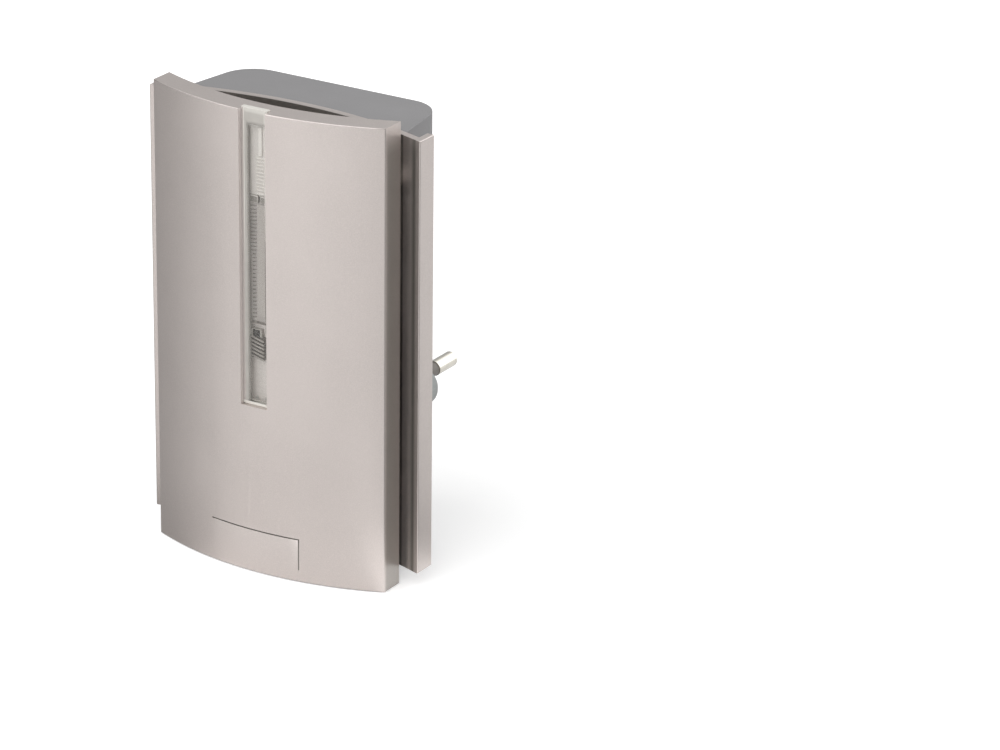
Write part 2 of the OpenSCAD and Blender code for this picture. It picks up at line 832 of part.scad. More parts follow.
module melody_chip() {
    low = chip_z - chip[2] / 2;
    top = chip_z + chip[2] / 2;
    y = board_rear + chip_leg[1];
    color([0.09, 0.09, 0.10]) on_socket() {
        block([chip_x - chip[0] / 2, y, low], [chip_x + chip[0] / 2, y + chip[1], top]);
        for (i = [0 : chip_legs - 1]) {
            x = chip_x + chip[0] * ((i + 0.5) / chip_legs - 0.5);
            block([x - chip_leg[0] / 2, board_rear + seam, low - chip_leg[2]],
                [x + chip_leg[0] / 2, y + chip_leg[1], top + chip_leg[2]]);
        }
    }
}

module crystal() {
    y = board_rear + crystal_t / 2 + seam;
    color([0.78, 0.78, 0.78]) on_socket() {
        block([crystal_x - crystal_w / 2 + crystal_h / 2, board_rear + seam, crystal_z - crystal_h / 2],
            [crystal_x + crystal_w / 2 - crystal_h / 2, y + crystal_t / 2, crystal_z + crystal_h / 2]);
        for (side = [-1, 1])
            rod(crystal_h / 2, crystal_x + side * (crystal_w - crystal_h) / 2, crystal_z, board_rear + seam, y + crystal_t / 2);
    }
}

module receiver_module() {
    y = board_rear + module_lift;
    color([0.13, 0.30, 0.42]) on_socket() {
        block([module_x, y, module_z], [module_x + module_w, y + module_t, module_z + module_h]);
        for (i = [1 : module_pins])
            rod(lead_r, module_x + module_w * i / (module_pins + 1), module_z + 2 * lead_r + lead_bend, board_rear + seam, y + seam);
        block([module_x + module_can[0] / 3, y + module_t - seam, module_z + module_h - module_can[2] - lead_bend],
            [module_x + module_can[0] * 4 / 3, y + module_t + module_can[1], module_z + module_h - lead_bend]);
    }
}

module antenna_wire() {
    z = module_z + module_h / 2;
    color([0.45, 0.10, 0.10]) on_socket()
        wire([[module_x + module_w + seam, antenna_y, z], [antenna_x, antenna_y, z],
            [antenna_x, antenna_y, antenna_top]], thin_wire_r);
}

// Body of a push switch, lying on the board's rear face
module push_switch(z) {
    color([0.14, 0.14, 0.15]) on_socket() difference() {
        block([switch_face_x, board_rear + seam, z - switch_h / 2],
            [switch_face_x + switch_deep, board_rear + switch_wide, z + switch_h / 2]);
        bar(plunger_r + gap, button_y, z, switch_face_x - cut, switch_face_x + plunger_in + button_travel + gap);
    }
}

module melody_switch() {
    push_switch(melody_z);
}

module volume_switch() {
    push_switch(volume_z);
}

module plunger(z) {
    color([0.75, 0.74, 0.70]) on_socket()
        bar(plunger_r, button_y, z, flange_x + button_flange_t, switch_face_x + plunger_in);
}

module melody_plunger() {
    plunger(melody_z);
}

module volume_plunger() {
    plunger(volume_z);
}

// A button cap along X with a flange that stays behind the housing's wall
module push_button(z) {
    face_x = -(button_wall_x + button_out);
    half_h = button_h / 2;
    half_w = button_w / 2;
    color([0.42, 0.42, 0.42]) on_socket() {
        for (y = [-1, 1], end = [-1, 1])
            bar(button_round, button_y + y * (half_w - button_round), z + end * (half_h - button_round), face_x, flange_x + seam);
        block([face_x, button_y - half_w, z - half_h + button_round], [flange_x + seam, button_y + half_w, z + half_h - button_round]);
        block([face_x, button_y - half_w + button_round, z - half_h], [flange_x + seam, button_y + half_w - button_round, z + half_h]);
        block([flange_x, button_y - half_w, z - half_h - button_lip],
            [flange_x + button_flange_t, button_y + half_w, z + half_h + button_lip]);
    }
}

module melody_button() {
    push_button(melody_z);
}

module volume_button() {
    push_button(volume_z);
}

module speaker_basket() {
    depth = basket_back - speaker_front;
    color([0.55, 0.56, 0.57]) on_socket() difference() {
        turned() polygon([[basket_open_r, 0], [speaker_d / 2, 0], [speaker_d / 2, speaker_lip_t],
            [basket_mouth_r + basket_t, speaker_lip_t], [basket_waist_r + basket_t, depth],
            [coil_r + coil_t + coil_play, depth], [coil_r + coil_t + coil_play, depth - basket_t],
            [basket_waist_r, depth - basket_t], [basket_mouth_r, basket_t], [basket_open_r, basket_t]]);
        for (i = [0 : basket_windows - 1])
            translate([0, 0, speaker_rise]) rotate([0, 45 + 360 * i / basket_windows, 0])
                block([basket_waist_r + basket_t, speaker_front + 2 * speaker_lip_t, -basket_window_w / 2],
                    [speaker_d / 2, basket_back - speaker_lip_t, basket_window_w / 2]);
    }
}

module speaker_magnet() {
    color([0.20, 0.20, 0.21]) on_socket()
        ring(magnet_r, coil_r + 2 * coil_t + coil_play, speaker_rise, basket_back, basket_back + magnet_t);
}

module speaker_yoke() {
    back = basket_back + magnet_t;
    color([0.62, 0.62, 0.63]) on_socket() {
        rod(magnet_r, 0, speaker_rise, back, back + yoke_t);
        rod(coil_r - coil_play, 0, speaker_rise, basket_back - basket_t, back + seam);
    }
}

module speaker_cone() {
    front = cone_front - speaker_front;
    inner = coil_r + coil_t;
    color([0.13, 0.13, 0.14]) on_socket() turned()
        polygon([[cone_rim_r, front], [cone_rim_r, front + cone_t], [inner, front + cone_deep],
            [coil_r, front + cone_deep], [coil_r, front + cone_deep - cone_t], [cone_rim_r - cone_t, front]]);
}

module speaker_surround() {
    inner = cone_rim_r + surround_gap;
    outer = basket_open_r - seam;
    mid = (inner + outer) / 2;
    roll = (outer - inner) / 2;
    front = cone_front - speaker_front;
    color([0.08, 0.08, 0.08]) on_socket() turned() {
        intersection() {
            translate([mid, front]) difference() {
                circle(r = roll);
                circle(r = roll - surround_t);
            }
            translate([inner, front - roll]) square([outer - inner, roll]);
        }
        translate([inner, front - sink]) square([surround_t, cone_t + sink]);
        translate([outer - surround_t, seam]) square([surround_t, front - seam]);
    }
}

module voice_coil() {
    end = basket_back + magnet_t - cone_travel - gap;
    color([0.70, 0.42, 0.20]) on_socket()
        ring(coil_r + coil_t, coil_r, speaker_rise, cone_front + cone_deep + seam, end);
}

module dust_cap() {
    base = cone_front - speaker_front + cone_deep - cone_t - seam;
    ball = (coil_r * coil_r + dust_cap_rise * dust_cap_rise) / (2 * dust_cap_rise);
    color([0.10, 0.10, 0.11]) on_socket() turned() intersection() {
        translate([0, base - dust_cap_rise + ball]) difference() {
            circle(r = ball);
            circle(r = ball - cone_t);
        }
        translate([0, base - dust_cap_rise - cut]) square([coil_r, dust_cap_rise + cut]);
    }
}

module speaker_screws() {
    y = speaker_front + speaker_lip_t + seam;
    color("silver") on_socket() clamp_places()
        screw(0, 0, y, frame_rear(0) - frame_wall / 4, small_screw_r, clamp_head_r, small_head_t);
}

module speaker_wires() {
    y = board_rear + thin_wire_r + seam;
    color([0.10, 0.10, 0.10]) on_socket()
        for (x = [-magnet_r / 2, -magnet_r / 3])
            wire([[x, y, speaker_rise - basket_open_r], [x, y, board_top - 2 * thin_wire_r]], thin_wire_r);
}

module led_wires() {
    color([0.60, 0.10, 0.10]) on_socket()
        for (x = [-thin_wire_r * 3, thin_wire_r * 3])
            rod(thin_wire_r, x, slot_low + tray_wall, led_board_front, board_y - seam);
}

front_panel();
lens_cover();
light_guide();
light_tray();
tray_screws();
led_board();
indicator_led();
light_baffle();
front_frame();
panel_screws();
rear_housing();
housing_screws();
plug_body();
live_pin();
neutral_pin();
pin_sleeves();
pin_tabs();
mains_wires();
main_board();
board_screws();
film_capacitor();
reservoir_capacitor();
fuse_resistor();
rectifier_diodes();
melody_chip();
crystal();
receiver_module();
antenna_wire();
melody_switch();
volume_switch();
melody_plunger();
volume_plunger();
melody_button();
volume_button();
speaker_basket();
speaker_magnet();
speaker_yoke();
speaker_cone();
speaker_surround();
voice_coil();
dust_cap();
speaker_screws();
speaker_wires();
led_wires();
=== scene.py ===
import math

import bmesh
import bpy
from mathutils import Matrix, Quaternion, Vector


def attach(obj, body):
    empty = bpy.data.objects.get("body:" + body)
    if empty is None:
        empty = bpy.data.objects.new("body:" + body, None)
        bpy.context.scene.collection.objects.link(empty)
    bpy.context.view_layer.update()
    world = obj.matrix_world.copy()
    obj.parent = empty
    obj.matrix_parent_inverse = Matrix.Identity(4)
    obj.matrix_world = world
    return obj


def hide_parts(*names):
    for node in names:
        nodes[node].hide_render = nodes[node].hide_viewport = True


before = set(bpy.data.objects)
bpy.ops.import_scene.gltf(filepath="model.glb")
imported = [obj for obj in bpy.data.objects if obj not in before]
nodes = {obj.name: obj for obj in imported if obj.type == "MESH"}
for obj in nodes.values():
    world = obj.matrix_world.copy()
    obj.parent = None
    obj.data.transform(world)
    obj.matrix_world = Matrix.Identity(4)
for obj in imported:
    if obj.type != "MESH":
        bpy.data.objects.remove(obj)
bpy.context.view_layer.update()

# Millimetres in the part's source: X 0 in the middle, Y 0 at the panel's side edges, Z 0 at the panel's mid height
PLUG_FACE = 50.5
PLUG_DROP = 26.5
PANEL = dict(w=67, h=120, bulge=7, rim=6.7)
FRAME = dict(w=78.5, h=112, dip=7.2, back=6.2, flange=6.4)
HOUSING = dict(h=111, back=33)
SLOT = dict(half=3.8, low=-16, front=-6.84, back=-4.4)
GUIDE = dict(half=2.5, front=-4.7, back=-3.2, low=5.5, top=55.9)
LED_X, LED_Z = -0.7, 2.5
BAFFLE_FRONT = -4.55
TRAY_BACK = -1.25
PANEL_HALF = PANEL["w"] / 2
PANEL_TOP = PANEL["h"] / 2
FRAME_HALF = FRAME["w"] / 2
# The panel bows forward and the frame dishes back, each round an upright axis at X 0
PANEL_R = (PANEL_HALF**2 + PANEL["bulge"] ** 2) / (2 * PANEL["bulge"])
PANEL_AXIS_Y = PANEL_R - PANEL["bulge"]
FRAME_R = (FRAME_HALF**2 + FRAME["dip"] ** 2) / (2 * FRAME["dip"])
FRAME_AXIS_Y = FRAME["back"] + FRAME["dip"] - FRAME_R
# How near to a face an edge lies that belongs to it
NEAR = 0.05
TIGHT = 0.01


def at(x, y, z):
    """A place in the part's own millimetres, as a point of the row frame in metres."""
    return Vector((x / 1000, (y - PLUG_FACE) / 1000, (z + PLUG_DROP) / 1000))


def local(v):
    """A point of the row frame in the part's own millimetres."""
    return v.x * 1000, v.y * 1000 + PLUG_FACE, v.z * 1000 - PLUG_DROP


def panel_y(x):
    """Y of the panel's front face."""
    return PANEL_AXIS_Y - math.sqrt(PANEL_R**2 - x * x)


# ---- camera ----
SENSOR_MM = 36
PICTURE_W = 1000


def make_camera():
    """A camera at the photograph's angle, fitted to points on the panel, the frame and the slot."""
    dist, az, el = 1150, math.radians(34.327), math.radians(21.524)
    yaw, pitch, roll, focal = math.radians(-3.018), math.radians(0.451), math.radians(0.722), 4712.3
    place = Vector((math.sin(az) * math.cos(el), -math.cos(az) * math.cos(el), math.sin(el))) * dist
    a, e = az + yaw, el + pitch
    look = -Vector((math.sin(a) * math.cos(e), -math.cos(a) * math.cos(e), math.sin(e)))
    data = bpy.data.cameras.new("camera")
    data.sensor_width = SENSOR_MM
    data.lens = focal * SENSOR_MM / PICTURE_W
    data.clip_start = 0.05
    data.clip_end = 60
    cam = bpy.data.objects.new("camera", data)
    cam.location = at(*place)
    cam.rotation_euler = (look.to_track_quat("-Z", "Y") @ Quaternion((0, 0, 1), roll)).to_euler()
    bpy.context.scene.collection.objects.link(cam)
    bpy.context.scene.camera = cam


make_camera()
bpy.context.scene.view_settings.view_transform = "Standard"


# ---- materials ----
class Shader:
    """A material with a Principled shader and short calls for the nodes before it."""

    def __init__(self, name):
        self.material = bpy.data.materials.new(name)
        self.material.use_nodes = True
        self.tree = self.material.node_tree
        self.main = self.tree.nodes["Principled BSDF"]
        self.place = self.tree.nodes.new("ShaderNodeTexCoord").outputs["Object"]

    def set(self, **values):
        for key, value in values.items():
            self.main.inputs[key.replace("_", " ")].default_value = value
        return self

    def node(self, kind, **values):
        made = self.tree.nodes.new(kind)
        for key, value in values.items():
            setattr(made, key, value)
        return made

    def link(self, a, b):
        self.tree.links.new(a, b)

    def mm(self):
        """X, Y and Z in the part's own millimetres."""
        made = self.node("ShaderNodeMapping")
        made.inputs["Scale"].default_value = (1000, 1000, 1000)
        made.inputs["Location"].default_value = (0, PLUG_FACE, -PLUG_DROP)
        self.link(self.place, made.inputs["Vector"])
        split = self.node("ShaderNodeSeparateXYZ")
        self.link(made.outputs["Vector"], split.inputs["Vector"])
        return split.outputs["X"], split.outputs["Y"], split.outputs["Z"]

    def within(self, value, low, high, soft=0.06):
        """1 between two values, with soft ends."""
        above = self.spread(value, low - soft, low + soft)
        return self.math("MULTIPLY", above, self.spread(value, high + soft, high - soft))

    def times(self, *factors):
        """The product of several values."""
        out = factors[0]
        for f in factors[1:]:
            out = self.math("MULTIPLY", out, f)
        return out

    def from_axis(self, x, y, axis_y):
        """Distance from an upright axis at X 0."""
        away = self.math("SUBTRACT", y, axis_y)
        squares = self.math("ADD", self.math("MULTIPLY", x, x), self.math("MULTIPLY", away, away))
        return self.math("SQRT", squares, 0)

    def stretch(self, x, y, z):
        """The object's coordinates, scaled along each axis."""
        made = self.node("ShaderNodeMapping")
        made.inputs["Scale"].default_value = (x, y, z)
        self.link(self.place, made.inputs["Vector"])
        return made.outputs["Vector"]

    def noise(self, per_mm, detail=3.0, rough=0.55, place=None):
        """Noise with a number of grains to the millimetre."""
        made = self.node("ShaderNodeTexNoise")
        made.inputs["Scale"].default_value = per_mm * 1000
        made.inputs["Detail"].default_value = detail
        made.inputs["Roughness"].default_value = rough
        self.link(place or self.place, made.inputs["Vector"])
        return made.outputs["Fac"]

    def spread(self, value, low, high, out_low=0.0, out_high=1.0):
        """A value's range from low to high, mapped to another range and held at its ends."""
        made = self.node("ShaderNodeMapRange")
        made.inputs["From Min"].default_value = low
        made.inputs["From Max"].default_value = high
        made.inputs["To Min"].default_value = out_low
        made.inputs["To Max"].default_value = out_high
        self.link(value, made.inputs["Value"])
        return made.outputs["Result"]

    def blend(self, factor, first, second):
        """A mix of two colours or colour sockets."""
        made = self.node("ShaderNodeMix", data_type="RGBA")
        for socket, value in ((made.inputs[6], first), (made.inputs[7], second)):
            if isinstance(value, tuple):
                socket.default_value = (*value, 1)
            else:
                self.link(value, socket)
        self.link(factor, made.inputs[0])
        return made.outputs[2]

    def math(self, operation, a, b):
        made = self.node("ShaderNodeMath", operation=operation)
        for socket, value in ((made.inputs[0], a), (made.inputs[1], b)):
            if isinstance(value, (int, float)):
                socket.default_value = value
            else:
                self.link(value, socket)
        return made.outputs[0]

    def bump(self, height, strength, depth_mm):
        made = self.node("ShaderNodeBump")
        made.inputs["Strength"].default_value = strength
        made.inputs["Distance"].default_value = depth_mm / 1000
        self.link(height, made.inputs["Height"])
        self.link(made.outputs["Normal"], self.main.inputs["Normal"])
        return self

    def colour(self, value):
        self.link(value, self.main.inputs["Base Color"])
        return self

    def rough(self, value):
        self.link(value, self.main.inputs["Roughness"])
        return self


def srgb(r, g, b):
    """Linear colour from 0 to 255 picture values."""
    out = []
    for v in (r, g, b):
        v /= 255
        out.append(v / 12.92 if v <= 0.04045 else ((v + 0.055) / 1.055) ** 2.4)
    return tuple(out)


def scaled(colour, k):
    """A colour made darker or lighter."""
    return tuple(c * k for c in colour)


# Ramps in millimetres that bound the painted shade in the joint between the panel's sides and the frame's strips
JOINT = dict(side=(33.3, 33.6), strip_end=(37.0, 38.0), front=(0.2, 1.2), back=(7.4, 6.9), top=(60.0, 53.0))
# The same on the frame's dished face behind the panel; face is counted outwards from that face's radius
DISH = dict(side=(33.3, 33.0), front=(6.3, 6.5), back=(14.5, 14.2), face=(0.1, 0.3), most=0.6)
# The engraved corner line: the depths below the panel's face that its painted shade darkens, and where it runs
LINE = dict(floor=0.4, lip=0.08, soft=0.03, below=(-46, -47), ahead=(-2, -3))
# Half the thickness of the band that marks the slot's walls
SLOT_MARGIN = 0.03
# The rounded edges at the panel's top and bottom, counted from its ends, where painted shade dims their highlight
BEVEL = (0.18, 0.02)
# The ramp at which the housing's painted seam shadow ends, counted outwards from the frame's radius
SEAM = (2.35, 2.6)
# The ramp from the baffle's base to its fins, counted back from its front
FIN_DEPTH = (0.25, 0.1)


def satin_paint(name, colour, metal=0.9, rough=0.36, painted_shade=None, level=(0.42, 0.44, 0.42)):
    """Champagne paint with metal flakes and a faint orange peel, painted shade where the parts meet and on its
    rounded top and bottom edges, pale and dull in the slot.
    """
    s = Shader(name)
    flakes = s.noise(4.5, 2.0, 0.7)
    cloud = s.noise(0.05, 2.0, 0.5)
    body = s.blend(s.spread(cloud, 0.35, 0.65), scaled(colour, 0.97), scaled(colour, 1.02))
    coat = s.blend(s.spread(flakes, 0.42, 0.68), body, scaled(colour, 1.10))
    # Painted shade: the colour times level where the mask finds the joints or the engraved groove
    if painted_shade:
        coat = s.blend(painted_shade(s), coat, tuple(c * k for c, k in zip(colour, level)))
    x, y, z = s.mm()
    wall = s.within(s.math("ABSOLUTE", x, 0), SLOT["half"] - SLOT_MARGIN, SLOT["half"] + SLOT_MARGIN, 0.02)
    slot = s.times(wall, s.within(y, SLOT["front"], SLOT["back"], 0.04), s.spread(z, SLOT["low"] - 0.2, SLOT["low"]))
    # Painted shade: the front of the rounded top and bottom edges darkened to dim their highlight
    bevel = s.within(s.math("ABSOLUTE", z, 0), PANEL_TOP - BEVEL[0], PANEL_TOP - BEVEL[1], 0.02)
    rim = s.times(bevel, s.spread(y, 0.3, 0.0))
    s.colour(s.blend(slot, s.blend(rim, coat, scaled(colour, 0.8)), scaled(colour, 1.2)))
    s.link(s.spread(slot, 0, 1, metal, 0.0), s.main.inputs["Metallic"])
    s.rough(s.spread(s.noise(0.9, 3.0, 0.6), 0.3, 0.7, rough - 0.03, rough + 0.04))
    peel = s.math("MULTIPLY", s.noise(0.55, 2.0, 0.5), 0.7)
    s.bump(s.math("ADD", peel, s.math("MULTIPLY", flakes, 0.3)), 0.10, 0.05)
    return s.material


def shade_in_joint(s):
    """Painted shade where the parts meet: the panel's sides, the frame's strips beside them and its dished face."""
    x, y, z = s.mm()
    side = s.math("ABSOLUTE", x, 0)
    strips = s.times(s.spread(side, *JOINT["side"]), s.spread(side, *JOINT["strip_end"], 1.0, 0.0),
                     s.spread(y, *JOINT["front"]), s.spread(y, *JOINT["back"]), s.spread(z, *JOINT["top"]))
    face = s.spread(s.from_axis(x, y, FRAME_AXIS_Y), *(FRAME_R + d for d in DISH["face"]), 1.0, 0.0)
    dish = s.times(s.spread(side, *DISH["side"], 0.0, DISH["most"]), s.spread(y, *DISH["front"]),
                   s.spread(y, *DISH["back"]), face)
    return s.math("MAXIMUM", strips, dish)


def shade_in_joint_and_line(s):
    """The same painted shade, and painted shade in the bottom of the engraved corner line."""
    x, y, z = s.mm()
    floor = s.within(s.from_axis(x, y, PANEL_AXIS_Y), PANEL_R - LINE["floor"], PANEL_R - LINE["lip"], LINE["soft"])
    line = s.times(floor, s.spread(z, *LINE["below"]), s.spread(y, *LINE["ahead"]))
    return s.math("MAXIMUM", shade_in_joint(s), line)


def moulded(name, colour, rough=0.5, grain=2.2, strength=0.2, depth=0.04, spread=0.06):
    """Moulded plastic with a fine spark-eroded grain."""
    s = Shader(name)
    fine = s.noise(grain, 4.0, 0.62)
    cloud = s.noise(0.06, 3.0, 0.55)
    body = s.blend(s.spread(cloud, 0.3, 0.7), scaled(colour, 1 - spread), scaled(colour, 1 + spread))
    s.colour(s.blend(s.spread(fine, 0.35, 0.7, 0.0, 0.5), body, scaled(colour, 1.12)))
    s.rough(s.spread(fine, 0.3, 0.7, rough - 0.06, rough + 0.08))
    s.bump(fine, strength, depth)
    return s.material


def metal(name, colour, rough=0.25, lines=(1, 1, 14), strength=0.12):
    """Turned or drawn metal with fine lines and a few dull patches."""
    s = Shader(name).set(Metallic=1.0)
    brushed = s.noise(0.5, 4.0, 0.6, s.stretch(*lines))
    patch = s.noise(0.25, 3.0, 0.6)
    s.colour(s.blend(s.spread(patch, 0.45, 0.7), colour, scaled(colour, 0.84)))
    s.rough(s.spread(patch, 0.3, 0.75, rough - 0.05, rough + 0.15))
    s.bump(brushed, strength, 0.02)
    return s.material


# Bands and ramps of the window's plastic in millimetres, across it (X) and along it (Z); left, right, ledge,
# under_ledge and foot bound painted highlights, dark a painted shadow
PANE = dict(left=(-3.15, -2.9), left_run=(20.0, 34.0), right=(2.75, 3.0), right_run=(27.0, 30.0),
            dark=(2.9, 3.15), dark_run=(3.4, 27.4), wall=(-3.05, -3.2), side=(-1.6, -2.5), head=(55.6, 57.2),
            ledge=(60.1, 60.3), under_ledge=(59.0, 59.6), ledge_side=(-3.2, -3.0), foot=(-15.1, -15.3))


def window_clear(name):
    """The window's slim milky plastic with painted highlights along its edges and foot, a ledge over the rim that is
    whitish and painted brighter, and a painted shadow down its right edge.
    """
    s = Shader(name).set(IOR=1.49)
    x, y, z = s.mm()
    left = s.times(s.within(x, *PANE["left"], 0.08), s.spread(z, *PANE["left_run"], 0.25, 1.0))
    right = s.times(s.within(x, *PANE["right"], 0.08), s.spread(z, *PANE["right_run"], 0.0, 0.6))
    dark = s.times(s.within(x, *PANE["dark"], 0.06), s.within(z, *PANE["dark_run"], 0.3))
    wall = s.spread(x, *PANE["wall"])
    side = s.math("MAXIMUM", s.spread(x, *PANE["side"]), s.spread(z, *PANE["head"]))
    under = s.times(s.spread(z, *PANE["under_ledge"], 0.0, 0.5), s.spread(x, *PANE["ledge_side"]))
    top = s.math("MAXIMUM", s.spread(z, *PANE["ledge"]), under)
    low = s.spread(z, *PANE["foot"])
    # Painted highlights: the edges, the foot and the ledge made whiter and more opaque
    light = s.math("MAXIMUM", s.math("MAXIMUM", left, right), s.math("MAXIMUM", top, low))
    cloud = s.blend(s.spread(s.noise(0.3, 2.0, 0.5), 0.3, 0.7), srgb(178, 174, 168), srgb(185, 181, 175))
    shade = s.blend(light, s.blend(wall, cloud, scaled(PAINT, 0.95)), srgb(226, 223, 216))
    # Painted shadow: a dark band down the window's right edge
    s.colour(s.blend(dark, shade, srgb(112, 108, 102)))
    edge = s.math("MAXIMUM", s.math("MAXIMUM", light, wall), s.math("MAXIMUM", dark, side))
    s.link(s.spread(edge, 0, 1, 0.09, 0.85), s.main.inputs["Alpha"])
    s.rough(s.spread(s.noise(0.8, 3.0, 0.6), 0.4, 0.8, 0.12, 0.18))
    s.bump(s.noise(0.35, 2.0, 0.5), 0.03, 0.05)
    return s.material


# The dark gap across the light guide: its ends, and the ramp between the two plastics in its middle
BAND = (36.2, 37.9)
BAND_MIDDLE = (36.6, 37.4)


def guide_plastic(name, upper, lower):
    """Frosted plastic of the light guide, paler above its dark gap than below it."""
    s = Shader(name).set(Transmission_Weight=0.12, IOR=1.45)
    x, y, z = s.mm()
    fine = s.noise(2.5, 3.0, 0.6)
    colour = s.blend(s.spread(z, *BAND_MIDDLE), lower, upper)
    s.colour(s.blend(s.spread(fine, 0.3, 0.7, 0.0, 0.08), colour, (1, 1, 1)))
    s.rough(s.spread(fine, 0.3, 0.7, 0.32, 0.46))
    s.bump(fine, 0.15, 0.03)
    return s.material


# The indicator's dark eye: half its width, and how far it reaches below and above the light's middle
EYE_HALF, EYE_LOW, EYE_HIGH = 1.05, 1.1, 0.8


def lamp_case(name):
    """The indicator light: a dark eye in a pale case."""
    s = Shader(name)
    x, y, z = s.mm()
    eye = s.times(s.within(x, LED_X - EYE_HALF, LED_X + EYE_HALF), s.within(z, LED_Z - EYE_LOW, LED_Z + EYE_HIGH))
    s.colour(s.blend(eye, srgb(160, 156, 150), srgb(16, 15, 15)))
    s.rough(s.spread(s.noise(1.0), 0.3, 0.7, 0.2, 0.3))
    s.bump(s.noise(1.0), 0.05, 0.02)
    return s.material


def fins(name):
    """The baffle's pale fins over its dark base."""
    s = Shader(name)
    x, y, z = s.mm()
    fine = s.noise(3.0, 3.0, 0.6)
    base = s.blend(fine, srgb(90, 86, 82), srgb(98, 94, 90))
    fin = s.blend(fine, srgb(146, 141, 135), srgb(158, 153, 147))
    s.colour(s.blend(s.spread(y, *(BAFFLE_FRONT + d for d in FIN_DEPTH)), base, fin))
    s.rough(s.spread(fine, 0.3, 0.7, 0.4, 0.5))
    s.bump(fine, 0.1, 0.03)
    return s.material


def soldered(name, colour, end_y):
    """A wire that ends in solder at its board."""
    s = Shader(name)
    x, y, z = s.mm()
    fine = s.noise(3.0, 4.0, 0.62)
    wire = s.blend(fine, scaled(colour, 0.92), scaled(colour, 1.1))
    s.colour(s.blend(s.spread(y, end_y + 0.2, end_y - 0.2), wire, srgb(190, 188, 182)))
    s.rough(s.spread(fine, 0.3, 0.7, 0.3, 0.42))
    s.bump(fine, 0.1, 0.04)
    return s.material


def seam_shadowed(name, colour):
    """The housing's plastic, with a painted shadow in the seam along the frame."""
    s = Shader(name)
    x, y, z = s.mm()
    fine = s.noise(2.6, 4.0, 0.62)
    cloud = s.noise(0.06, 3.0, 0.55)
    body = s.blend(s.spread(cloud, 0.3, 0.7), scaled(colour, 0.95), scaled(colour, 1.05))
    body = s.blend(s.spread(fine, 0.35, 0.7, 0.0, 0.5), body, scaled(colour, 1.12))
    # Painted shadow: the housing darkened near the frame's back, where the seam lies in shade
    away = s.from_axis(x, y, FRAME_AXIS_Y)
    s.colour(s.blend(s.spread(away, *(FRAME_R + d for d in SEAM)), scaled(colour, 0.35), body))
    s.rough(s.spread(fine, 0.3, 0.7, 0.49, 0.63))
    s.bump(fine, 0.22, 0.04)
    return s.material


def circuit(name, mask, copper):
    """A circuit board: solder mask with faint tracks under it."""
    s = Shader(name)
    tracks = s.node("ShaderNodeTexBrick")
    tracks.inputs["Scale"].default_value = 1000
    tracks.inputs["Mortar Size"].default_value = 0.25
    tracks.inputs["Brick Width"].default_value = 7.0
    tracks.inputs["Row Height"].default_value = 1.6
    tilt = s.node("ShaderNodeMapping")
    tilt.inputs["Rotation"].default_value = (math.pi / 2, 0, 0)
    s.link(s.place, tilt.inputs["Vector"])
    s.link(tilt.outputs["Vector"], tracks.inputs["Vector"])
    s.colour(s.blend(s.spread(tracks.outputs["Fac"], 0, 1, 0.0, 0.5), mask, copper))
    s.rough(s.spread(s.noise(0.8, 2.0), 0.3, 0.7, 0.25, 0.4))
    s.bump(tracks.outputs["Fac"], 0.2, 0.03)
    return s.material


def pulp(name, colour):
    """Pressed paper fibre."""
    s = Shader(name)
    fibre = s.noise(1.6, 5.0, 0.7)
    s.colour(s.blend(s.spread(fibre, 0.3, 0.7), scaled(colour, 0.6), scaled(colour, 1.5)))
    s.rough(s.spread(fibre, 0.3, 0.7, 0.75, 0.95))
    s.bump(fibre, 0.5, 0.06)
    return s.material


def banded(name, colour, stripes, start, step, half, rough=0.35):
    """A resistor's or diode's glaze with coloured bands across X."""
    s = Shader(name)
    split = s.node("ShaderNodeSeparateXYZ")
    s.link(s.place, split.inputs["Vector"])
    shade = s.blend(s.spread(s.noise(1.5), 0.3, 0.7), scaled(colour, 0.9), colour)
    for i, stripe in enumerate(stripes):
        away = s.math("ABSOLUTE", s.math("SUBTRACT", split.outputs["X"], (start + i * step) / 1000), 0)
        shade = s.blend(s.math("LESS_THAN", away, half / 1000), shade, stripe)
    s.colour(shade)
    s.rough(s.spread(s.noise(0.8), 0.3, 0.7, rough - 0.05, rough + 0.1))
    s.bump(s.noise(1.2), 0.1, 0.03)
    return s.material


